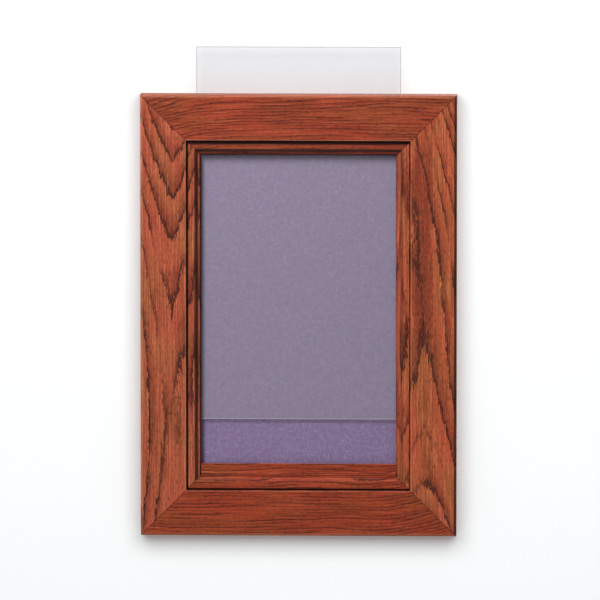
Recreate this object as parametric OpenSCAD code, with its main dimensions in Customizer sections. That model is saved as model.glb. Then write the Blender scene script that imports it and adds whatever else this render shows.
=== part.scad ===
// Slide-in sign frame: four mitred hardwood mouldings around a fabric tack panel, with a clear
// cover sheet that drops in through a slot in the top rail. The panel is held from behind by
// turn buttons, and two keyhole plates hang the frame on the wall.
// x runs to the viewer's right, the front faces -y and z is up. The wall is the plane y = 0,
// and the origin lies midway between the entry holes of the two keyhole plates.

/* [Sheet and opening] */
// Width of the clear sheet, which is also the width of the paper behind it
sheet_w = 216; // [160:1:300]
// Thickness of the clear sheet
sheet_t = 2; // [1.5:0.1:3]
// How far each side edge of the sheet hides behind a stile
sheet_hidden = 5; // [3:0.5:6]
// How far the sheet stands above its seat
sheet_raise = 50; // [0:1:120]
// Height of the opening between the top and bottom mouldings
opening_h = 340; // [250:1:600]

/* [Moulding] */
// Width of the flat face
face_w = 48.5; // [40:0.5:60]
// Width of the lower strip beside the flat face, with its groove
strip_w = 9.5; // [7:0.5:14]
// Width of the lip that steps down to the opening
lip_w = 6; // [5.8:0.1:8]
// Depth of the strip below the flat face
strip_d = 3; // [2:0.5:4]
// Width of the groove between the flat face and the strip
groove_w = 1.4; // [1:0.1:2]
// Depth of that groove below the flat face
groove_d = 4.6; // [4.2:0.1:6]
// Depth of the back of the lip below the flat face
lip_d = 9.5; // [9.5:0.5:12]

/* [Sill of the bottom rail] */
// Width of the ledge that the sill adds inside the opening
sill_ledge = 3.6; // [3:0.1:6]
// Height of the tongue that stands on the ledge
sill_tongue = 8.6; // [6:0.1:14]
// Depth of the seat that the sheet stands in, below the tongue's top
seat_d = 3.2; // [2:0.1:5]

/* [Panel] */
// How far the panel reaches past the sheet's channel on each side
panel_ledge = 3.8; // [3:0.1:5]
// Thickness of the fabric facing
fabric_t = 0.7; // [0.5:0.1:1.2]
// Thickness of the fibreboard core
core_t = 5.6; // [4:0.1:8]
// Thickness of the hardboard backing
backing_t = 3.2; // [2:0.1:5]

/* [Turn buttons] */
// Width of a turn button
button_w = 9; // [7:0.5:10]
// Distance from a button's pivot to the centre of its far end
button_reach = 14; // [12:0.5:16]
// Thickness of a turn button
button_t = 1.2; // [1:0.1:1.5]
// Shank diameter of its screw
button_screw_d = 3; // [2.5:0.1:3.5]

/* [Keyhole plates] */
// Width of a keyhole plate
plate_w = 16; // [14:0.5:18]
// Length of a keyhole plate
plate_l = 50; // [44:1:60]
// Thickness of a keyhole plate
plate_t = 1.5; // [1:0.1:2]
// Diameter of the entry hole
entry_d = 9; // [8:0.5:10]
// Width of the narrow slot above the entry hole
slot_w = 4.4; // [4:0.1:5]
// Distance from the frame's top to the middle of a plate
plate_drop = 85; // [80:1:110]

/* [Hidden] */
$fn = 48;
// A cut runs this far past the face it opens
over = 1;
// Looser and closer gaps, on each side
loose_gap = 0.3;
snug_gap = 0.1;
// Radial gap between a turn button and its screw
pivot_gap = 0.08;

// Edge radii of the moulding
outer_r = 2.5;
face_r = 0.8;
strip_r = 0.5;
shoulder_r = 1.2;
sill_r = 1.2;
tongue_r = 0.8;
back_chamfer = 0.8;

// The lip: a bevel from the strip to a narrow ledge, and a second slope to the opening
bevel = 3.4;
lip_ledge = 0.8;
lip_edge_t = 1.2;

// Widths from the outer edge inwards
shoulder_u = face_w + strip_w;
rail_w = shoulder_u + lip_w;
ledge_u = shoulder_u + bevel;
sill_step_u = rail_w + sill_ledge;
sill_top_u = sill_step_u + sill_tongue;
seat_u = sill_top_u - seat_d;

// Overall size
opening_w = sheet_w - 2 * sheet_hidden;
frame_w = opening_w + 2 * rail_w;
frame_h = opening_h + 2 * rail_w;

// The channel that the sheet slides in, and the rabbet behind it that takes the panel
sheet_side_gap = 0.5;
sheet_face_gap = 0.6;
// How far the sheet's top edge stands above the frame's when the sheet is right down, for a grip
sheet_proud = 0.5;
channel_w = sheet_w + 2 * sheet_side_gap;
channel_u = (frame_w - channel_w) / 2;
rabbet_u = channel_u - panel_ledge;
rabbet_w = frame_w - 2 * rabbet_u;

// Depths from the front face backwards
ledge_d = strip_d + bevel;
tongue_d = ledge_d + sill_r;
panel_d = lip_d + sheet_t + 2 * sheet_face_gap;
core_d = panel_d + fabric_t;
backing_d = core_d + core_t;
back_of_panel_d = backing_d + backing_t;
button_d = back_of_panel_d + loose_gap;
head_t = 1.3;
head_d = button_d + button_t + snug_gap;
frame_d = head_d + head_t + loose_gap;

// The wider, shallow rebate in which the turn buttons swing
button_r = button_w / 2;
swing_room = 1.9;
// How far a button stays clear of the panel when it is turned along the moulding
button_clear = 3.9;
pivot_u = rabbet_u - button_clear - button_r;
button_u = pivot_u - button_r - swing_room;

// The strip that closes the back of the slot in the top rail, with a lapped end on each side
lap_w = 16;
lap_t = 7.4;
lap_land = 3;
lap_d = frame_d - lap_t;
lap_from_u = 9;
lap_to_u = button_u - lap_land;
lap_screw_x = rabbet_w / 2 + lap_w / 2;
lap_screw_u = (lap_from_u + lap_to_u) / 2;

// Screws
wood_screw_d = 3.5;
wood_screw_l = 15;
plate_screw_d = 2.8;
plate_screw_l = 12;
button_head_d = 6.4;
// The hole for a button's screw stops this far short of the sheet's channel, and the screw
// stops short of the bottom of its hole
channel_skin = 1.5;
tip_room = 1;
button_hole_l = back_of_panel_d - panel_d - channel_skin;
drive_w = 0.8;
drive_depth = 1;

// Corner fasteners: a steel angle pressed into the back across each mitre, at two places
nail_leg = 5;
nail_t = 0.8;
nail_l = 8;
nail_sunk = 0.2;
NAIL_AT = [11, 26];

// Keyhole plates
plate_in = 19;
plate_x = frame_w / 2 - plate_in;
plate_z = frame_h - plate_drop;
plate_screw_in = 6;
plate_screw_at = plate_l / 2 - plate_screw_in;
entry_below = 5;
slot_rise = 11;
// The pocket behind a keyhole takes a nail's head, with room round it and more above it
pocket_room = 1;
pocket_head_room = 2;
pocket_w = entry_d + 2 * pocket_room;
pocket_from = entry_below + entry_d / 2 + pocket_room;
pocket_to = slot_rise - entry_below + entry_d / 2 + pocket_head_room;
pocket_d = 6;
hang_z = plate_z - entry_below;

// Turn buttons: name, pivot x, pivot z, and the turn that points each one at the panel
side_x = frame_w / 2 - pivot_u;
low_z = rail_w + opening_h / 4;
high_z = frame_h - rail_w - opening_h / 4;
BUTTONS = [
    ["left_upper", -side_x, high_z, 0],
    ["left_lower", -side_x, low_z, 0],
    ["right_upper", side_x, high_z, 180],
    ["right_lower", side_x, low_z, 180],
    ["top", 0, frame_h - pivot_u, -90],
    ["bottom", 0, pivot_u, 90]
];
SIDES = [["left", -1], ["right", 1]];

wood_colour = [0.62, 0.3, 0.2];
steel_colour = [0.72, 0.72, 0.7];

// Points along an arc, from angle a0 to angle a1
function arc(c, r, a0, a1, steps = 8) =
    [for (i = [0:steps]) let (a = a0 + (a1 - a0) * i / steps) c + r * [cos(a), sin(a)]];

// Section of a moulding: x is the width from the outer edge, y the depth from the front face.
// The first stretch is the same on all four, and ends where the bevel meets the ledge.
face_outline = concat(
    arc([outer_r, outer_r], outer_r, 180, 270),
    arc([face_w - face_r, face_r], face_r, 270, 360),
    [[face_w, groove_d], [face_w + groove_w, groove_d]],
    arc([face_w + groove_w + strip_r, strip_d + strip_r], strip_r, 180, 270),
    arc([shoulder_u - shoulder_r * tan(22.5), strip_d + shoulder_r], shoulder_r, 270, 315),
    [[ledge_u, ledge_d]]
);
lip_outline = [
    [ledge_u + lip_ledge, ledge_d],
    [rail_w, lip_d - lip_edge_t],
    [rail_w, lip_d],
    [channel_u, lip_d],
    [channel_u, panel_d]
];
sill_outline = concat(
    arc([sill_step_u - sill_r, ledge_d + sill_r], sill_r, 270, 360),
    arc([sill_top_u - tongue_r, tongue_d + tongue_r], tongue_r, 270, 360),
    [[sill_top_u, lip_d], [seat_u, lip_d], [seat_u, panel_d]]
);
back_outline = [
    [rabbet_u, panel_d],
    [rabbet_u, back_of_panel_d],
    [button_u, back_of_panel_d],
    [button_u, frame_d],
    [back_chamfer, frame_d],
    [0, frame_d - back_chamfer]
];

// Stands the children, drawn with y as depth from the front and z from the frame's bottom edge,
// in the part's own frame
module in_place() {
    translate([0, -frame_d, -hang_z]) children();
}

// A box from one corner to the opposite one
module block(from, to) {
    translate(from) cube(to - from);
}

// A straight bar of moulding standing on z = 0 with its outer edge at x = 0
module upright_bar(outline, length) {
    linear_extrude(length) polygon(outline);
}

// A flat outline in x and z, made solid through the whole depth of the frame
module through(points) {
    translate([0, frame_d + over, 0]) rotate([90, 0, 0])
        linear_extrude(frame_d + 2 * over) polygon(points);
}

// The region that belongs to the left stile: a trapezium between its two mitres
module stile_region() {
    through([[-over, -over], [rail_w, rail_w], [rail_w, frame_h - rail_w], [-over, frame_h + over]]);
}

// The region that belongs to the bottom rail: mitred as far as the opening's edge, and square
// where a sill stands between the stiles
module rail_region(top) {
    half = frame_w / 2;
    through([[-half - over, -over], [half + over, -over], [half - rail_w, rail_w],
             [half - rail_w, top], [-half + rail_w, top], [-half + rail_w, rail_w]]);
}

// One corner nail's outline at the bottom left corner, with its apex on the mitre line
module corner_nail_outline(at) {
    near = at - nail_t / 2;
    far = near + nail_leg;
    inner = near + nail_t;
    polygon([[near, near], [far, near], [far, inner], [inner, inner], [inner, far], [near, far]]);
}

// Corner nails, or with sunk = 0 the kerfs they are pressed into, at all four corners
module corner_nail_set(sunk) {
    for (mx = [0, 1], mz = [0, 1], at = NAIL_AT)
        translate([0, 0, frame_h / 2]) mirror([mx, 0, 0]) mirror([0, 0, mz])
            translate([-frame_w / 2, frame_d - sunk, -frame_h / 2]) rotate([90, 0, 0])
                linear_extrude(nail_l - sunk) corner_nail_outline(at);
}

// A cross-shaped screwdriver recess, cut down from y = 0
module drive_recess(width) {
    for (turn = [0, 90])
        rotate([0, turn, 0])
            block([-width / 2, -drive_depth, -drive_w / 2], [width / 2, over, drive_w / 2]);
}

// A countersunk screw with its axis along y, its head's top at y = 0 and its point towards -y
module countersunk_screw(d, length, grow = 0) {
    head_l = d / 2;
    point_l = d;
    rotate([90, 0, 0]) {
        cylinder(h = head_l, r1 = d + grow, r2 = d / 2 + grow);
        translate([0, 0, head_l]) cylinder(h = length - head_l - point_l, r = d / 2 + grow);
        translate([0, 0, length - point_l]) cylinder(h = point_l, r1 = d / 2 + grow, r2 = d / 6);
    }
}

// The hole for such a screw, open above the head
module countersunk_hole(d, length) {
    countersunk_screw(d, length, snug_gap);
    rotate([-90, 0, 0]) cylinder(h = over, r = d + snug_gap);
}

// Where the top of each countersunk head lies: the backer's two, and two in each keyhole plate
module at_backer_screws() {
    for (s = SIDES)
        translate([s[1] * lap_screw_x, frame_d - snug_gap, frame_h - lap_screw_u]) children();
}

module at_plate_screws(side) {
    for (dz = [-1, 1])
        translate([side * plate_x, frame_d - snug_gap, plate_z + dz * plate_screw_at]) children();
}

// Where each turn button's pivot meets the floor of the shallow rebate
module at_button_pivots() {
    for (b = BUTTONS) translate([b[1], back_of_panel_d, b[2]]) children();
}

module pilot_hole(d, depth) {
    translate([0, over, 0]) rotate([90, 0, 0]) cylinder(h = depth + over, r = d / 2 + snug_gap);
}

module plate_outline(grow = 0) {
    end_at = plate_l / 2 - plate_w / 2;
    square([plate_w + 2 * grow, 2 * end_at], center = true);
    for (s = [-1, 1]) translate([0, s * end_at]) circle(r = plate_w / 2 + grow);
}

// The shallow recess for a keyhole plate, and the deeper pocket behind its keyhole
module plate_recess(side) {
    translate([side * plate_x, frame_d, plate_z]) {
        translate([0, over, 0]) rotate([90, 0, 0])
            linear_extrude(plate_t + over) plate_outline(snug_gap);
        block([-pocket_w / 2, -plate_t - pocket_d, -pocket_from],
              [pocket_w / 2, 0, pocket_to]);
    }
    at_plate_screws(side) pilot_hole(plate_screw_d, plate_screw_l);
}

module bottom_rail() {
    color(wood_colour) in_place() difference() {
        intersection() {
            translate([frame_w / 2 + over, 0, 0]) rotate([0, -90, 0])
                upright_bar(concat(face_outline, sill_outline, back_outline), frame_w + 2 * over);
            rail_region(sill_top_u + over);
        }
        corner_nail_set(0);
        at_button_pivots() pilot_hole(button_screw_d, button_hole_l);
    }
}

module top_rail() {
    color(wood_colour) in_place() difference() {
        translate([0, 0, frame_h]) mirror([0, 0, 1]) intersection() {
            translate([frame_w / 2 + over, 0, 0]) rotate([0, -90, 0])
                upright_bar(concat(face_outline, lip_outline, back_outline), frame_w + 2 * over);
            rail_region(rail_w + over);
        }
        // the slot that the sheet and the paper go through
        block([-channel_w / 2, lip_d, frame_h - rail_w - over],
              [channel_w / 2, panel_d, frame_h + over]);
        // the open-backed recess that the slot backer fills, and the pockets for its lapped ends
        block([-rabbet_w / 2, panel_d, frame_h - rabbet_u - over],
              [rabbet_w / 2, frame_d + over, frame_h + over]);
        block([-rabbet_w / 2 - lap_w, lap_d, frame_h - lap_to_u],
              [rabbet_w / 2 + lap_w, frame_d + over, frame_h - lap_from_u]);
        corner_nail_set(0);
        at_backer_screws() pilot_hole(wood_screw_d, wood_screw_l);
    }
}

module left_stile() {
    color(wood_colour) in_place() difference() {
        translate([-frame_w / 2, 0, 0]) intersection() {
            translate([0, 0, -over])
                upright_bar(concat(face_outline, lip_outline, back_outline), frame_h + 2 * over);
            stile_region();
        }
        corner_nail_set(0);
        plate_recess(-1);
        at_button_pivots() pilot_hole(button_screw_d, button_hole_l);
    }
}

module right_stile() {
    mirror([1, 0, 0]) left_stile();
}

module slot_backer() {
    half = rabbet_w / 2 - snug_gap;
    color(wood_colour * 0.9) in_place() difference() {
        union() {
            block([-half, panel_d, frame_h - rabbet_u], [half, frame_d, frame_h]);
            block([-half - lap_w, lap_d, frame_h - lap_to_u + snug_gap],
                  [half + lap_w, frame_d, frame_h - lap_from_u - snug_gap]);
        }
        block([-half - over, back_of_panel_d, frame_h - rabbet_u - over],
              [half + over, frame_d + over, frame_h - button_u]);
        at_backer_screws() countersunk_hole(wood_screw_d, wood_screw_l);
        at_button_pivots() pilot_hole(button_screw_d, button_hole_l);
    }
}

module backer_screws() {
    color(steel_colour) in_place() at_backer_screws() difference() {
        countersunk_screw(wood_screw_d, wood_screw_l);
        drive_recess(wood_screw_d);
    }
}

module corner_nails() {
    color(steel_colour) in_place() corner_nail_set(nail_sunk);
}

module cover_sheet() {
    from_z = seat_u + loose_gap + sheet_raise;
    to_z = frame_h + sheet_proud + sheet_raise;
    color([0.85, 0.88, 0.9, 0.5]) in_place()
        block([-sheet_w / 2, lip_d + sheet_face_gap, from_z],
              [sheet_w / 2, lip_d + sheet_face_gap + sheet_t, to_z]);
}

// A layer of the panel, filling the rabbet but for a gap all round
module panel_layer(from_d, thickness) {
    half = rabbet_w / 2 - loose_gap;
    block([-half, from_d, rabbet_u + loose_gap],
          [half, from_d + thickness, frame_h - rabbet_u - loose_gap]);
}

module fabric_facing() {
    color([0.52, 0.46, 0.58]) in_place() panel_layer(panel_d, fabric_t);
}

module tack_core() {
    color([0.7, 0.62, 0.48]) in_place() panel_layer(core_d, core_t);
}

module backing_panel() {
    color([0.42, 0.28, 0.18]) in_place() panel_layer(backing_d, backing_t);
}

module turn_button(x, z, turn) {
    color(steel_colour) in_place() translate([x, button_d, z]) rotate([0, -turn, 0])
        rotate([90, 0, 0]) mirror([0, 0, 1]) linear_extrude(button_t) difference() {
            union() {
                translate([0, -button_r]) square([button_reach, button_w]);
                for (cx = [0, button_reach]) translate([cx, 0]) circle(r = button_r);
            }
            circle(r = button_screw_d / 2 + pivot_gap);
        }
}

module button_screws() {
    shank_l = button_hole_l - tip_room + head_d - back_of_panel_d;
    color(steel_colour) in_place() at_button_pivots()
        translate([0, head_d - back_of_panel_d, 0]) difference() {
            rotate([90, 0, 0]) {
                cylinder(h = shank_l, r = button_screw_d / 2);
                translate([0, 0, -head_t]) cylinder(h = head_t, r = button_head_d / 2);
            }
            translate([0, head_t, 0]) drive_recess(button_screw_d);
        }
}

module keyhole_plate(side) {
    color(steel_colour) in_place() difference() {
        translate([side * plate_x, frame_d, plate_z]) rotate([90, 0, 0])
            linear_extrude(plate_t) difference() {
                plate_outline();
                translate([0, -entry_below]) circle(r = entry_d / 2);
                translate([-slot_w / 2, -entry_below]) square([slot_w, slot_rise]);
                translate([0, -entry_below + slot_rise]) circle(r = slot_w / 2);
            }
        at_plate_screws(side) countersunk_hole(plate_screw_d, plate_screw_l);
    }
}

module plate_screws() {
    color(steel_colour) in_place() for (s = SIDES)
        at_plate_screws(s[1]) difference() {
            countersunk_screw(plate_screw_d, plate_screw_l);
            drive_recess(plate_screw_d);
        }
}

top_rail();
bottom_rail();
left_stile();
right_stile();
slot_backer();
backer_screws();
corner_nails();
cover_sheet();
fabric_facing();
tack_core();
backing_panel();
for (b = BUTTONS)
    turn_button(b[1], b[2], b[3]);
button_screws();
for (s = SIDES)
    keyhole_plate(s[1]);
plate_screws();
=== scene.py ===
# %% [markdown]
# # A slide-in sign frame in stained oak
#
# The real thing is a picture frame with a slot in its top rail. Four mitred oak mouldings
# surround a board covered with plum tack fabric, and a clear sheet slides down in front of the
# board to cover whatever paper is shown. This lesson starts from the measured model, which
# already has the right shapes and places, and gives every piece its finish: oak grain that runs
# along each moulding, woven cloth, clear plastic with a fine matte face, and zinc-plated steel.

# %% Load the measured model
import math

import bmesh
import bpy
from mathutils import Matrix, Vector


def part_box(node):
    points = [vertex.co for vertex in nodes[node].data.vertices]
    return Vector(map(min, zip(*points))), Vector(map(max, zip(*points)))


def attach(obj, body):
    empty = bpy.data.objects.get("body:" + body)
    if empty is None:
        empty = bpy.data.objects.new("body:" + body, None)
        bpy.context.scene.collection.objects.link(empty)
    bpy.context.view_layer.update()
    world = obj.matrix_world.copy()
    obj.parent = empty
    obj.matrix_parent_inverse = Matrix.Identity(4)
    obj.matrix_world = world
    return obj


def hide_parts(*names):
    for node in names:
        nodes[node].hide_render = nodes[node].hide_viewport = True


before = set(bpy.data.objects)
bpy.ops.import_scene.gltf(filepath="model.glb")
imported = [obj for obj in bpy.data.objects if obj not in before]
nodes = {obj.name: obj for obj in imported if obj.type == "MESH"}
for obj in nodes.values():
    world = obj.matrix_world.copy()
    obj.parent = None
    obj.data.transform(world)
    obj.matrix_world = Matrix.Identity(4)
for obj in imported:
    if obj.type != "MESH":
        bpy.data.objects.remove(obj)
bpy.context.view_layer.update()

# %% [markdown]
# The camera comes first, so that every later step can be judged from where the viewer stands.
# The frame is seen from a little above and a touch to the right, and its edges stay parallel,
# which is what a long lens far away gives. A short lens close up would make the nearer corners
# larger.

# %% Camera, a long way off with a long lens
FROM_RIGHT, FROM_ABOVE = math.radians(2), math.radians(6)
CAMERA_AWAY = 10.0
FIELD = 0.6335
SENSOR = 36.0
AIM_ASIDE, AIM_UP = 0.0018, 0.2512

front_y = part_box("bottom_rail")[0].y
foot_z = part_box("bottom_rail")[0].z
aim = Vector((AIM_ASIDE, front_y, foot_z + AIM_UP))
towards_camera = Vector((
    math.sin(FROM_RIGHT) * math.cos(FROM_ABOVE),
    -math.cos(FROM_RIGHT) * math.cos(FROM_ABOVE),
    math.sin(FROM_ABOVE),
))
camera_data = bpy.data.cameras.new("camera")
camera_data.sensor_width = SENSOR
camera_data.lens = SENSOR * CAMERA_AWAY / FIELD
camera_data.clip_start, camera_data.clip_end = 0.1, 100
camera = bpy.data.objects.new("camera", camera_data)
camera.rotation_mode = "QUATERNION"
camera.location = aim + towards_camera * CAMERA_AWAY
camera.rotation_quaternion = (-towards_camera).to_track_quat("-Z", "Y")
bpy.context.scene.collection.objects.link(camera)
bpy.context.scene.camera = camera
print("lens:", round(camera_data.lens), "mm")

# %% [markdown]
# Every finish below is a sum on a few patterns, so the sums are written as plain arithmetic.
# The small class wraps the socket that a number comes out of, and each operator adds one Math
# node. Numbers that are known beforehand stay in Python. Two shapes come up in every mask: a
# smooth step from one distance to another, and a soft band on both sides of a line.


# %% A number that varies over a surface
class Number:
    def __init__(self, finish, socket):
        self.finish, self.socket = finish, socket

    def maths(self, operation, *others, clamp=False):
        inputs = {i: value for i, value in enumerate((self, *others))}
        settings = {"operation": operation, "use_clamp": clamp}
        return self.finish.number("ShaderNodeMath", settings, inputs)

    def __add__(self, other):
        return self.maths("ADD", other)

    def __sub__(self, other):
        return self.maths("SUBTRACT", other)

    def __rsub__(self, other):
        return (self * -1) + other

    def __mul__(self, other):
        return self.maths("MULTIPLY", other)

    def __truediv__(self, other):
        return self.maths("DIVIDE", other)

    def __pow__(self, power):
        return self.maths("POWER", power)

    def __neg__(self):
        return self * -1

    __radd__, __rmul__ = __add__, __mul__

    def size(self):
        return self.maths("ABSOLUTE")

    def whole(self):
        return self.maths("FLOOR")

    def part(self):
        return self.maths("FRACT")

    def wave(self):
        return self.maths("SINE")

    def least(self, other):
        return self.maths("MINIMUM", other)

    def most(self, other):
        return self.maths("MAXIMUM", other)

    def limited(self):
        return self.maths("ADD", 0.0, clamp=True)

    def rise(self, start, end):
        """0 below start, 1 above end, and a smooth slope between. Start may be the larger."""
        settings = {"interpolation_type": "SMOOTHSTEP"}
        at_low, at_high = (0.0, 1.0) if start < end else (1.0, 0.0)
        inputs = {
            "Value": self, "From Min": min(start, end), "From Max": max(start, end),
            "To Min": at_low, "To Max": at_high,
        }
        return self.finish.number("ShaderNodeMapRange", settings, inputs)

    def band(self, middle, reach, full):
        """1 up to `full` from the middle, fading to 0 at `reach` from it, on both sides."""
        return (self - middle).size().rise(reach, full)


# %% [markdown]
# A finish holds one material. Its one method `node` takes a node's type, the settings that are
# made first, and then what goes into its sockets, whether values or links. The helpers below it
# only name the nodes that come up again and again: noise stretched to suit a grain, a mix of two
# colours, and the bump that roughens a surface.


# %% A material and the nodes in it
class Finish:
    def __init__(self, name):
        self.material = bpy.data.materials.new(name)
        self.material.use_nodes = True
        self.tree = self.material.node_tree
        self.tree.nodes.clear()
        self.output = self.tree.nodes.new("ShaderNodeOutputMaterial")

    def node(self, kind, settings, inputs):
        made = self.tree.nodes.new(kind)
        for key, value in settings.items():
            setattr(made, key, value)
        for key, value in inputs.items():
            socket = made.inputs[key]
            if isinstance(value, Number):
                value = value.socket
            if isinstance(value, bpy.types.NodeSocket):
                self.tree.links.new(value, socket)
            else:
                socket.default_value = value
        return made

    def number(self, kind, settings, inputs):
        return Number(self, self.node(kind, settings, inputs).outputs[0])

    def place(self):
        """Where a point is, in millimetres: x to the right, y back to the wall, z up."""
        point = self.node("ShaderNodeTexCoord", {}, {}).outputs["Object"]
        inputs = {0: point, "Scale": 1000.0}
        in_mm = self.node("ShaderNodeVectorMath", {"operation": "SCALE"}, inputs)
        parts = self.node("ShaderNodeSeparateXYZ", {}, {0: in_mm.outputs[0]})
        return [Number(self, parts.outputs[i]) for i in range(3)]

    def noise(self, along, across, depth, detail=2.0, roughness=0.5, seed=0.0):
        """Noise from 0 to 1. Each argument is a distance already divided by its grain size."""
        spot = self.node("ShaderNodeCombineXYZ", {}, {0: along + seed, 1: across, 2: depth})
        settings = {"noise_dimensions": "3D", "normalize": True}
        inputs = {0: spot.outputs[0], "Scale": 1.0, "Detail": detail, "Roughness": roughness}
        return self.number("ShaderNodeTexNoise", settings, inputs)

    def mix(self, share, first, second, blend="MIX"):
        settings = {"data_type": "RGBA", "blend_type": blend, "clamp_factor": True}
        inputs = {0: share, 6: self.colour(first), 7: self.colour(second)}
        return self.node("ShaderNodeMix", settings, inputs).outputs[2]

    def colour(self, value):
        return (*value, 1.0) if isinstance(value, tuple) else value

    def bump(self, height, distance, strength=1.0):
        inputs = {"Strength": strength, "Distance": distance, "Height": height}
        return self.node("ShaderNodeBump", {}, inputs).outputs[0]

    def surface(self, **sockets):
        """The shader itself. A name such as Base_Color stands for the socket Base Color."""
        inputs = {key.replace("_", " "): self.colour(value) for key, value in sockets.items()}
        shader = self.node("ShaderNodeBsdfPrincipled", {}, inputs)
        self.tree.links.new(shader.outputs[0], self.output.inputs[0])
        return self.material


def wear(material, *names):
    """Gives the named nodes one material, in every slot that they have."""
    for name in names:
        slots = nodes[name].data.materials
        slots.clear()
        slots.append(material)
    print(material.name, "on", ", ".join(names))


# %% [markdown]
# Oak shows its growth rings as dark bands of open pores, and the shape that they make on a board
# depends on where the board was cut from the log. A board from near the outside shows nested
# arches, and one cut nearer to a radius shows nearly straight lines. So the grain is made as the
# tree makes it: rings round a pith line that lies somewhere behind the board. Each board gives
# its own pith line, and a board whose pith leans away from it shows its arches one above another.
# Painting the arches on the face would leave the edges and the mitres with no grain at all.
#
# A board is measured in its own terms: along it, in from its outer edge, and back from its face.
# Going in from the outer edge there is a flat face, a groove, a strip and a lip. The groove is
# cut into the outer side of the strip, and the strip's rounded shoulder leads down to the lip.

# %% Where each board lies in its own terms
oak_low = Vector(map(min, *(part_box(n)[0] for n in ("left_stile", "bottom_rail")))) * 1000
oak_high = Vector(map(max, *(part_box(n)[1] for n in ("right_stile", "top_rail")))) * 1000
FACE_W, GROOVE_W, STRIP_W, LIP_W = 48.5, 1.4, 9.5, 6.0
GROOVE = FACE_W + GROOVE_W / 2
SHOULDER = FACE_W + STRIP_W
RAIL_W = SHOULDER + LIP_W


def board_terms(finish, member):
    """Distance along a board from its low or left end, in from its outer edge, and back from its
    front face, all in millimetres."""
    x, y, z = finish.place()
    back = y - oak_low.y
    along_x, along_z = x - oak_low.x, z - oak_low.z
    return {
        "left_stile": (along_z, x - oak_low.x, back),
        "right_stile": (along_z, oak_high.x - x, back),
        "bottom_rail": (along_x, z - oak_low.z, back),
        "top_rail": (along_x, oak_high.z - z, back),
    }[member]


def board_length(member):
    return oak_high.x - oak_low.x if member.endswith("rail") else oak_high.z - oak_low.z


print("oak from", [round(v, 1) for v in oak_low], "to", [round(v, 1) for v in oak_high])

# %% [markdown]
# Each board's pith line is described by two short sums: how far in from the outer edge the
# arches have their middle, and how far behind the face the pith lies, at each distance along the
# board. The left stile's pith comes nearer towards the top, so its arches point down. The right
# stile's lies furthest back in the middle, so they point up below that and down above it. The
# rails were cut nearer to a radius. Their pith lies beyond the outer edge, and their lines only
# swing at one end.

# %% The four pith lines
ARCH_MIDDLE = 34.0


def left_pith(along):
    up = along - 240.0
    return ARCH_MIDDLE, 121.3 - up * 0.049 - up * up * 0.000215


def right_pith(along):
    up, lean = along - 250.0, (along - 180.0).most(0.0)
    near, far = up.least(60.0), (up - 60.0).most(0.0)
    return lean * lean * 0.00065 + ARCH_MIDDLE, 118.2 - near * near * 0.00025 - far * 0.01


def top_pith(along):
    swing = (140.0 - along).most(0.0)
    return swing * swing * 0.0010 - 70.0, along * 0.01 + 60.0


def bottom_pith(along):
    swing = (along - 235.0).most(0.0)
    return swing * swing * 0.0016 - 80.0, 70.0 - along * 0.008


print("arches centred", ARCH_MIDDLE, "mm in from the outer edge, at the foot of each stile")

# %% [markdown]
# The four boards come from different planks and took the stain differently, so each has a few
# numbers of its own. They could be four materials written out in full, but then a change to the
# recipe would have to be made four times.
#
# `ring` is the width of a growth ring in millimetres, and `outward` says which way its dark line
# fades: 1 is away from the pith, and -1 towards it. `pointed` draws the arches to a tip, and
# `wander` is how many rings the slow noise moves a line by. `seed` chooses the board's own noise.
# `tone` multiplies the stain's red, green and blue. `shade` is how strongly the glaze and the
# painted shade darken the groove, the strip, the slopes and the shoulder, largest on the top and
# left boards, whose recesses face away from the key light. `heart` is how dark a patch of
# heartwood is: only the right stile has one, in its upper half.

# %% The four boards
BOARDS = {
    "left_stile": {
        "pith": left_pith, "ring": 4.5, "outward": -1.0, "pointed": 0.15, "wander": 0.8,
        "seed": 11.0, "tone": (0.94, 0.83, 0.89), "shade": (1.0, 0.0, 0.85, 0.0), "heart": 0.0,
    },
    "right_stile": {
        "pith": right_pith, "ring": 4.2, "outward": 1.0, "pointed": 0.08, "wander": 0.3,
        "seed": 24.0, "tone": (1.02, 0.88, 0.84), "shade": (0.0, 0.0, 0.5, 0.0), "heart": 0.9,
    },
    "top_rail": {
        "pith": top_pith, "ring": 3.0, "outward": 1.0, "pointed": 0.0, "wander": 0.8,
        "seed": 53.0, "tone": (0.77, 0.48, 0.43), "shade": (1.0, 0.85, 0.9, 0.2), "heart": 0.0,
    },
    "bottom_rail": {
        "pith": bottom_pith, "ring": 2.9, "outward": 1.0, "pointed": 0.0, "wander": 0.8,
        "seed": 71.0, "tone": (0.77, 0.44, 0.34), "shade": (0.9, 0.0, 0.0, 0.0), "heart": 0.0,
    },
}
for member, board in BOARDS.items():
    print(member, "length", round(board_length(member), 1), "mm, rings", board["ring"], "mm wide")

# %% [markdown]
# Three kinds of noise, each drawn out along the board, keep the rings from looking turned on a
# lathe: a slow one that bends whole arches, a faster one that makes them uneven, and a ragged one
# that frays their edges. Whole rings then differ in strength, as good and bad years do. Each ring
# gives a thin dark line where its pores are open, and a broad tone that fades away behind it. The
# pores themselves are short fine flecks, thickest in the lines.

# %% Grain from the growth rings
HEART_ACROSS, HEART_ALONG = 36.0, 308.0


def grain(finish, spot, long, wide, **settings):
    """Noise in marks of this many millimetres along a board, and this many across it."""
    along, across, back = spot
    return finish.noise(along / long, across / wide, back / wide, **settings)


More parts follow.
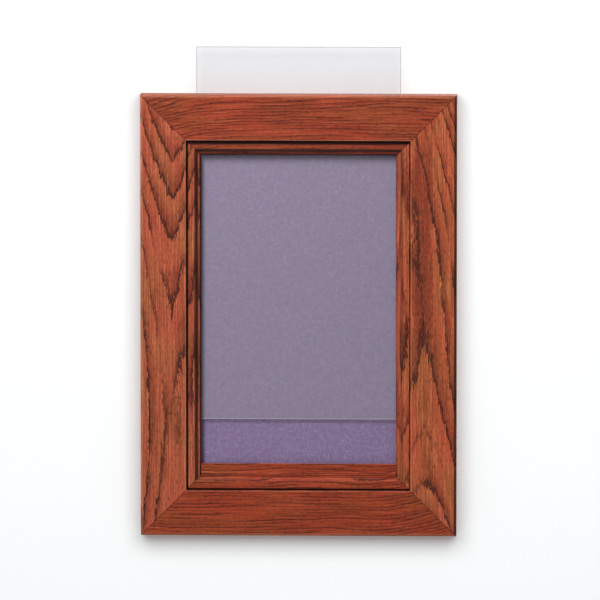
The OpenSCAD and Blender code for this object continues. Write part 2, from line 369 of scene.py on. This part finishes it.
def oak_grain(finish, spot, board):
    """The dark line of each growth ring, the broad tone that goes with it, and the pores."""
    along, across, back = spot
    seed = board["seed"]
    centre, behind = board["pith"](along)
    slow = grain(finish, spot, 95.0, 26.0, detail=1.0, seed=seed) - 0.5
    fast = grain(finish, spot, 22.0, 5.0, seed=seed + 9.0) - 0.5
    ragged = grain(finish, spot, 7.0, 1.2, roughness=0.7, seed=seed + 5.0) - 0.5
    sideways = across - centre + slow * 8.0
    depth = behind - back
    radius = (sideways * sideways + depth * depth) ** 0.5 + sideways.size() * board["pointed"]
    drift = slow * board["wander"] + fast * 0.5 + ragged * 0.5
    rings = (radius / board["ring"] + drift) * board["outward"]
    in_ring = rings.part()
    strength = finish.noise(rings.whole() * 0.73, along / 90.0, across / 60.0, seed=seed + 3.0)
    line = in_ring.rise(0.26, 0.02) * strength.rise(0.30, 0.55)
    broad = in_ring.rise(0.80, 0.20) * strength.rise(0.40, 0.56) * 0.8
    if board["heart"]:
        heart = (across + fast * 12.0).band(HEART_ACROSS, 13.0, 7.0)
        broad = broad.most(heart * along.band(HEART_ALONG, 130.0, 90.0) * board["heart"])
    fleck = grain(finish, spot, 6.0, 0.42, seed=seed + 7.0)
    pores = (fleck + line * 0.10 + broad * 0.05).rise(0.54, 0.68)
    return line, broad, pores


print("heartwood", HEART_ALONG, "mm up the right stile and", HEART_ACROSS, "mm in")

# %% [markdown]
# A dark glaze is wiped over the stained frame and off again, and it stays wherever the wiping
# cloth could not reach. The same mask also paints shade: in the groove, on the strip beside it,
# on the slopes under the shoulder and at the lip it darkens the wood where shade falls, most on
# the top and left boards, which face away from the key light. The thin line along each mitre is
# the dark joint. Each of these places is one band, and the strongest band at a point wins. It
# could be painted on by hand, but a mask worked out from the board's own measures follows the
# moulding exactly, round all four sides.

# %% Where the glaze and the painted shade go
def glaze_and_painted_shade_mask(spot, length, shade):
    # Glaze and painted shade: the groove, strip, slope and shoulder bands are scaled by each
    # board's shade; the lip band is a painted shade line at the sight edge, and the mitre band is
    # the dark joint.
    along, across, back = spot
    in_groove, on_strip, on_slopes, on_shoulder = shade
    groove = across.band(GROOVE, 1.5, 0.7) * back.rise(0.6, 2.4)
    groove = groove.most(across.band(FACE_W + 0.2, 1.2, 0.3) * back.rise(0.1, 0.9))
    strip = across.rise(FACE_W - 1.8, FACE_W + 0.4) * across.rise(FACE_W + 4.6, FACE_W + 3.0)
    upper = across.rise(SHOULDER - 2.0, SHOULDER - 0.4)
    upper = upper * across.rise(SHOULDER + 3.0, SHOULDER + 1.8) * 0.95
    lower = across.rise(SHOULDER + 4.0, SHOULDER + 4.8)
    shoulder = across.band(SHOULDER + 0.6, 3.4, 1.2)
    lip = across.band(RAIL_W, 0.9, 0.1) * 0.6
    corners = (groove * in_groove).most(strip * on_strip).most(upper.most(lower) * on_slopes)
    corners = corners.most(shoulder * on_shoulder).most(lip)
    from_end = along.least(length - along)
    mitre = (from_end - across).band(0.0, 0.9, 0.25) * 0.72
    visible = across.rise(RAIL_W + 0.4, RAIL_W + 0.1) * back.rise(14.0, 12.0)
    return corners.most(mitre) * visible


print("glaze and painted shade in the groove at", GROOVE, "mm and down to the lip's edge at", RAIL_W, "mm")

# %% [markdown]
# The stain is what makes the oak red. It soaks into the open pores and turns them nearly black,
# and stays thin and bright on the dense wood between them. Edges are rubbed lighter by handling,
# but the right stile's outer edge, which faces away from the key light, is darkened instead as
# painted shade. The back was never stained all over, so it shows the raw wood. Each of these is
# one mask, and the masks are mixed over each other in the order in which the finisher works.

# %% Stained oak
BRIGHT_OAK = (0.48, 0.110, 0.048)
WARM_OAK = (0.41, 0.130, 0.044)
DEEP_OAK = (0.15, 0.022, 0.009)
PALE_OAK = (0.70, 0.290, 0.150)
PORE_STAIN = (0.028, 0.005, 0.004)
# Near-black glaze colour, also used as painted shade in the recesses and on the right stile's
# outer edge.
GLAZE_AND_PAINTED_SHADE = (0.020, 0.004, 0.003)
RUBBED = (0.55, 0.22, 0.12)
RAW_OAK = (0.47, 0.27, 0.13)
# The right stile's outer edge faces away from the key light, so it is darkened as painted shade.
PAINTED_SHADE_OUTER_EDGE = {"right_stile": (GLAZE_AND_PAINTED_SHADE, 0.9)}


def oak_finish(name, member, board, moulded=True):
    finish = Finish(name)
    spot = along, across, back = board_terms(finish, member)
    line, broad, pores = oak_grain(finish, spot, board)
    seed = board["seed"]
    streak = grain(finish, spot, 60.0, 1.3, detail=3.0, roughness=0.6, seed=seed + 2.0)
    cloud = grain(finish, spot, 70.0, 24.0, seed=seed + 4.0)
    wood = finish.mix(cloud.rise(0.35, 0.68), BRIGHT_OAK, WARM_OAK)
    wood = finish.mix(streak.rise(0.36, 0.70) * 0.55, wood, DEEP_OAK)
    wood = finish.mix(streak.rise(0.46, 0.28) * 0.5, wood, PALE_OAK)
    wood = finish.mix(broad * 0.62, wood, DEEP_OAK)
    wood = finish.mix(line * 0.80, wood, PORE_STAIN)
    wood = finish.mix(pores * 0.72, wood, PORE_STAIN)
    wood = finish.mix(1.0, wood, board["tone"], blend="MULTIPLY")
    if moulded:
        glaze_and_shade = glaze_and_painted_shade_mask(spot, board_length(member), board["shade"])
        # Glaze in the recesses, together with painted shade that is strongest on the boards facing
        # away from the key light.
        wood = finish.mix(glaze_and_shade, wood, GLAZE_AND_PAINTED_SHADE)
        arris = across.band(FACE_W - 0.9, 0.8, 0.2) * back.rise(0.9, 0.1)
        wood = finish.mix(arris * streak.rise(0.3, 0.6) * 0.35, wood, RUBBED)
        # Outer edge band: rubbed lighter as wear on three boards, darkened as painted shade on the
        # right stile.
        outer = across.rise(3.4, 2.2) * back.rise(9.0, 5.0) * (streak * 0.5 + 0.6)
        colour, share = PAINTED_SHADE_OUTER_EDGE.get(member, (RUBBED, 0.25))
        wood = finish.mix(outer * share, wood, colour)
    wood = finish.mix(back.rise(24.2, 25.3) * 0.55, wood, RAW_OAK)
    height = -pores * 0.6 - line * 0.25 + streak * 0.15
    return finish.surface(
        Base_Color=wood, Roughness=streak * 0.12 + pores * 0.18 + 0.40,
        Normal=finish.bump(height, 0.0003, 0.6),
        Specular_IOR_Level=0.2, Coat_Weight=0.05, Coat_Roughness=0.28,
    )


for member, board in BOARDS.items():
    wear(oak_finish("stained oak " + member.replace("_", " "), member, board), member)
backer = dict(BOARDS["top_rail"], seed=91.0, tone=(0.8, 0.72, 0.66))
wear(oak_finish("stained oak slot backer", "top_rail", backer, moulded=False), "slot_backer")

# %% [markdown]
# The facing is a plain-woven cloth, glued flat over the fibreboard. It is made as one thin sheet
# with rounded edges, from a grid that is given its thickness and bevelled. Cloth simulation
# would add nothing here, because glue holds every part of the cloth flat. Modelling each yarn
# would take millions of faces for something a millimetre wide, so the weave is left to the finish.

# %% The cloth as a thin sheet
cloth_low, cloth_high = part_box("fabric_facing")
cloth_w, cloth_t, cloth_h = cloth_high - cloth_low
middle = (cloth_low + cloth_high) / 2
shape = bmesh.new()
bmesh.ops.create_grid(shape, x_segments=28, y_segments=45, size=0.5)
bmesh.ops.scale(shape, vec=(cloth_w, cloth_h, 1.0), verts=shape.verts)
bmesh.ops.rotate(shape, matrix=Matrix.Rotation(math.pi / 2, 3, "X"), verts=shape.verts)
raised = bmesh.ops.extrude_face_region(shape, geom=shape.faces[:])["geom"]
raised = [part for part in raised if isinstance(part, bmesh.types.BMVert)]
bmesh.ops.translate(shape, vec=(0, cloth_t, 0), verts=raised)
bmesh.ops.recalc_face_normals(shape, faces=shape.faces)
rim = [e for e in shape.edges if len(e.link_faces) == 2 and e.calc_face_angle() > 1.0]
bmesh.ops.bevel(
    shape, geom=rim, offset=cloth_t * 0.3, affect="EDGES", segments=2, profile=0.5, material=-1,
)
bmesh.ops.translate(shape, vec=(middle.x, cloth_low.y, middle.z), verts=shape.verts)
cloth_mesh = bpy.data.meshes.new("tack_cloth")
shape.to_mesh(cloth_mesh)
shape.free()
cloth = bpy.data.objects.new("tack_cloth", cloth_mesh)
bpy.context.scene.collection.objects.link(cloth)
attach(cloth, "frame")
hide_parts("fabric_facing")
cloth_size = [round(v * 1000, 1) for v in cloth.dimensions]
print("cloth:", cloth_size, "mm,", len(cloth_mesh.polygons), "faces")

# %% [markdown]
# A plain weave is yarns going over and under each other in turn. Two sine waves multiplied say
# which yarn is on top at each point, and each yarn is rounded across its width, which gives the
# bump its height. The heather comes from dyed fibres that were mixed before spinning: every yarn
# has its own hue, small patches lean to plum or to slate, slubs leave longer pale streaks both
# ways, and loose fibres make fine pale specks. The hollows between the yarns are darkened as
# painted shade.

# %% Heathered plum weave
YARN = 1.25
PLUM, SLATE, MAUVE = (0.205, 0.120, 0.250), (0.165, 0.145, 0.270), (0.320, 0.215, 0.330)
# The last colour on the next line is painted shade for the hollows between the yarns.
SLUB, LOOSE_FIBRE, YARN_GAP_SHADE = (0.38, 0.27, 0.41), (0.36, 0.27, 0.40), (0.04, 0.025, 0.06)
YARN_ROUND = 3.2


def weave_finish():
    finish = Finish("heathered plum cloth")
    x, y, z = finish.place()
    uneven = (finish.noise(x / 4.0, z / 40.0, y, seed=2.0) - 0.5) * 0.5
    column, row = (x + uneven) / YARN, (z + uneven * 0.4) / YARN
    over = ((column * math.pi).wave() * (row * math.pi).wave()).rise(-0.35, 0.35)
    warp, weft = (column + 0.5).part() - 0.5, (row + 0.5).part() - 0.5
    warp_round = 1.0 - warp * warp * YARN_ROUND
    weft_round = 1.0 - weft * weft * YARN_ROUND
    height = over * warp_round + (1.0 - over) * weft_round
    warp_hue = finish.noise((column + 0.5).whole() * 0.61, z / 3.5, 0.0, seed=3.0)
    weft_hue = finish.noise((row + 0.5).whole() * 0.47, x / 3.5, 0.0, seed=31.0)
    hue = over * warp_hue + (1.0 - over) * weft_hue
    up_slub = finish.noise(x / 1.4, z / 5.5, y, roughness=0.6, seed=13.0)
    side_slub = finish.noise(x / 5.5, z / 1.4, y, roughness=0.6, seed=17.0)
    slub = up_slub.most(side_slub)
    patch = finish.noise(x / 2.4, z / 2.4, y, seed=19.0)
    fibre = finish.noise(x / 0.22, z / 0.22, y, detail=3.0, roughness=0.7, seed=6.0)
    yarn = finish.mix((hue * 0.5 + patch * 0.5).rise(0.38, 0.60), SLATE, PLUM)
    yarn = finish.mix(hue.rise(0.45, 0.80) * 0.55, yarn, MAUVE)
    yarn = finish.mix(slub.rise(0.48, 0.76) * 0.55, yarn, SLUB)
    yarn = finish.mix(fibre.rise(0.50, 0.80) * 0.5, yarn, LOOSE_FIBRE)
    # Painted shade in the hollows between the yarns, where the bump is lowest.
    yarn = finish.mix(height.rise(0.75, 0.20) * 0.6, yarn, YARN_GAP_SHADE)
    return finish.surface(
        Base_Color=yarn, Roughness=fibre * 0.1 + 0.82, Specular_IOR_Level=0.2,
        Sheen_Weight=0.25, Sheen_Roughness=0.5,
        Normal=finish.bump(height + fibre * 0.25, 0.00018, 0.8),
    )


cloth_mesh.materials.append(weave_finish())
print("weave: one yarn every", YARN, "mm")

# %% [markdown]
# The cover sheet is clear plastic with a fine matte face, so that it doesn't glare. It lets most
# of the light through and lays a thin veil of its own over what is behind it. That veil is made
# by making the faces mostly transparent and a little grey. Real refraction would need many more
# light paths for a bend that nobody sees in 2 mm. The cut edges gather light from the whole sheet
# and look firmer, so a mask finds the last millimetre inside the outline.

# %% Clear matte sheet
sheet_low, sheet_high = (corner * 1000 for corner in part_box("cover_sheet"))
VEIL, CUT_EDGE = (0.45, 0.43, 0.48), (0.36, 0.36, 0.37)


def clear_finish():
    finish = Finish("clear matte plastic")
    x, y, z = finish.place()
    from_side = (x - sheet_low.x).least(sheet_high.x - x)
    from_end = (z - sheet_low.z).least(sheet_high.z - z)
    edge = from_side.least(from_end).rise(1.1, 0.5)
    haze = finish.noise(x / 60.0, z / 60.0, y / 60.0, detail=2.0, seed=1.0)
    stipple = finish.noise(x / 0.35, z / 0.35, y / 0.35, detail=2.0, seed=4.0)
    scuff = finish.noise(x / 1.2, z / 45.0, y / 1.2, detail=3.0, roughness=0.7, seed=8.0)
    veil = 0.125 + haze * 0.02 + scuff.rise(0.62, 0.80) * 0.03
    return finish.surface(
        Base_Color=finish.mix(edge, VEIL, CUT_EDGE), Alpha=(veil + edge * 0.35).limited(),
        Roughness=stipple * 0.12 + 0.30, Specular_IOR_Level=0.4, IOR=1.49,
        Normal=finish.bump(stipple, 0.00004, 0.5),
    )


wear(clear_finish(), "cover_sheet")

# %% [markdown]
# The hidden boards matter in the views from behind. Fibreboard is pressed from soft wood fibres,
# so it is a tan mat of short strands. Hardboard is pressed against a wire screen, which leaves a
# fine square mesh on its rough side, and its colour is a darker, mottled brown.

# %% Fibreboard and hardboard
def fibre_finish(name, light, dark, strand, mesh=0.0):
    finish = Finish(name)
    x, y, z = finish.place()
    long = strand * 6
    frayed = {"detail": 3.0, "roughness": 0.7}
    one_way = finish.noise(x / strand, z / long, y / strand, seed=2.0, **frayed)
    other_way = finish.noise(x / long, z / strand, y / strand, seed=5.0, **frayed)
    mottle = finish.noise(x / 18.0, z / 18.0, y / 18.0, detail=4.0, seed=7.0)
    strands = one_way.most(other_way)
    colour = finish.mix(strands.rise(0.42, 0.72), dark, light)
    colour = finish.mix(mottle.rise(0.40, 0.70) * 0.35, colour, dark)
    height = strands
    if mesh:
        upright, level = (x / mesh * math.pi).wave().size(), (z / mesh * math.pi).wave().size()
        screen = upright.least(level)
        height = strands * 0.5 - screen.rise(0.5, 0.1)
        # The screen's sunken lines, where the bump is lowest, are darkened as painted shade.
        sunken_line_shade = tuple(v * 0.5 for v in dark)
        colour = finish.mix(screen.rise(0.55, 0.1) * 0.35, colour, sunken_line_shade)
    return finish.surface(
        Base_Color=colour, Roughness=strands * 0.15 + 0.68, Specular_IOR_Level=0.3,
        Normal=finish.bump(height, 0.00015, 0.7),
    )


TAN_FIBRE, TAN_SHADOW = (0.50, 0.38, 0.24), (0.28, 0.19, 0.11)
BROWN_FIBRE, BROWN_SHADOW = (0.20, 0.105, 0.052), (0.105, 0.05, 0.024)
wear(fibre_finish("tan fibreboard", TAN_FIBRE, TAN_SHADOW, 0.5), "tack_core")
hardboard = fibre_finish("screen-backed hardboard", BROWN_FIBRE, BROWN_SHADOW, 0.35, mesh=1.6)
wear(hardboard, "backing_panel")

# %% [markdown]
# The hardware is mild steel, barrel plated with zinc. The plating is a soft grey with a faint
# blue and yellow cast from the rinse, finely scratched from tumbling against its neighbours.
# Screws and plates share the recipe, and the plates also show the direction they were rolled in.

# %% Zinc-plated steel
COOL_ZINC, WARM_ZINC, DULL_SPOT = (0.52, 0.54, 0.57), (0.66, 0.64, 0.58), (0.30, 0.29, 0.27)


def zinc_finish(name, rolled):
    finish = Finish(name)
    x, y, z = finish.place()
    mottle = finish.noise(x / 2.2, z / 2.2, y / 2.2, detail=3.0, seed=3.0)
    scratch = finish.noise(x / 0.12, z / rolled, y / 0.3, detail=3.0, roughness=0.65, seed=6.0)
    spot = finish.noise(x / 0.8, z / 0.8, y / 0.8, detail=2.0, seed=9.0).rise(0.66, 0.78)
    colour = finish.mix(mottle.rise(0.35, 0.65), COOL_ZINC, WARM_ZINC)
    colour = finish.mix(spot * 0.4, colour, DULL_SPOT)
    return finish.surface(
        Base_Color=colour, Metallic=1.0 - spot * 0.3,
        Roughness=scratch * 0.22 + mottle * 0.12 + 0.16,
        Normal=finish.bump(scratch + spot * 0.4, 0.00003, 0.6),
    )


buttons = [name for name in nodes if name.startswith("turn_button_")]
small = ("button_screws", "plate_screws", "backer_screws", "corner_nails")
wear(zinc_finish("zinc plate", 6.0), "left_keyhole_plate", "right_keyhole_plate", *buttons)
wear(zinc_finish("zinc screws", 0.5), *small)

# %% [markdown]
# The frame hangs on a pale wall above a pale floor. The wall is there to catch the frame's soft
# shadow, and nothing else: it gives no light back and stops none, so the back of the frame is
# lit as well as its front. Seen from behind it is clear, or nobody could look at the hardware.

# %% Wall and floor
def backdrop(name, across, up, place, turn):
    shape = bmesh.new()
    bmesh.ops.create_grid(shape, x_segments=1, y_segments=1, size=0.5)
    bmesh.ops.scale(shape, vec=(across, up, 1.0), verts=shape.verts)
    bmesh.ops.rotate(shape, matrix=Matrix.Rotation(turn, 3, "X"), verts=shape.verts)
    bmesh.ops.translate(shape, vec=place, verts=shape.verts)
    mesh = bpy.data.meshes.new(name)
    shape.to_mesh(mesh)
    shape.free()
    made = bpy.data.objects.new(name, mesh)
    bpy.context.scene.collection.objects.link(made)
    return made


WALL_W, WALL_H, WALL_Y = 8.0, 5.0, 0.0004
FLOOR_BELOW = 1.4
WALL_PAINT, FLOOR_PAINT = (0.79, 0.815, 0.82), (0.80, 0.80, 0.79)
floor_z = foot_z - FLOOR_BELOW
wall = backdrop("wall", WALL_W, WALL_H, (0, WALL_Y, floor_z + WALL_H / 2), math.pi / 2)
floor = backdrop("floor", 16.0, 12.0, (0, 0, floor_z), 0.0)
wall.visible_diffuse = wall.visible_glossy = wall.visible_shadow = False

paint = Finish("pale wall paint")
front = paint.node("ShaderNodeBsdfDiffuse", {}, {"Color": (*WALL_PAINT, 1.0)})
clear = paint.node("ShaderNodeBsdfTransparent", {}, {})
facing = paint.node("ShaderNodeNewGeometry", {}, {}).outputs["Backfacing"]
both = paint.node("ShaderNodeMixShader", {}, {0: facing, 1: front.outputs[0], 2: clear.outputs[0]})
paint.tree.links.new(both.outputs[0], paint.output.inputs[0])
wall.data.materials.append(paint.material)
floor.data.materials.append(Finish("pale floor").surface(Base_Color=FLOOR_PAINT, Roughness=0.8))
print("wall at y =", WALL_Y, "floor at z =", round(floor_z, 3))

# %% [markdown]
# The light is three soft boxes and an even glow from the whole room. The key, high on the left
# in front, draws the fine shadows along the groove and the lip, and light linking keeps it off
# the wall. The wash, wide and a little above, lights the wall alone, and makes the soft shadow
# below the frame. One lamp could do both, but then the wall's brightness couldn't be set apart
# from the oak's. The third lights the back, and the room fills in the rest.


# %% Lights
FRAME_MIDDLE = (0, 0, -0.12)
ROOM_GLOW = 0.33


def soft_box(name, towards, away, size, watts):
    lamp = bpy.data.lights.new(name, "AREA")
    lamp.shape, lamp.size, lamp.size_y, lamp.energy = "RECTANGLE", size[0], size[1], watts
    made = bpy.data.objects.new(name, lamp)
    direction = Vector(towards).normalized()
    made.rotation_mode = "QUATERNION"
    made.location = Vector(FRAME_MIDDLE) + direction * away
    made.rotation_quaternion = (-direction).to_track_quat("-Z", "Y")
    bpy.context.scene.collection.objects.link(made)
    return made


key = soft_box("key", (-0.85, -1.0, 1.5), 2.4, (0.7, 0.7), 86)
wash = soft_box("wall wash", (0.0, -1.0, 0.50), 2.0, (2.8, 1.5), 55)
soft_box("behind", (0.6, 1.2, 0.9), 2.4, (1.2, 1.2), 65)
for lamp, state in ((key, "EXCLUDE"), (wash, "INCLUDE")):
    lit = bpy.data.collections.new(lamp.name + " and the wall")
    lit.objects.link(wall)
    lamp.light_linking.receiver_collection = lit
    lit.collection_objects[0].light_linking.link_state = state
world = bpy.data.worlds.new("room")
bpy.context.scene.world = world
world.use_nodes = True
glow = world.node_tree.nodes["Background"]
glow.inputs["Color"].default_value = (1.0, 1.0, 1.0, 1.0)
glow.inputs["Strength"].default_value = ROOM_GLOW
bpy.context.scene.view_settings.view_transform = "Standard"
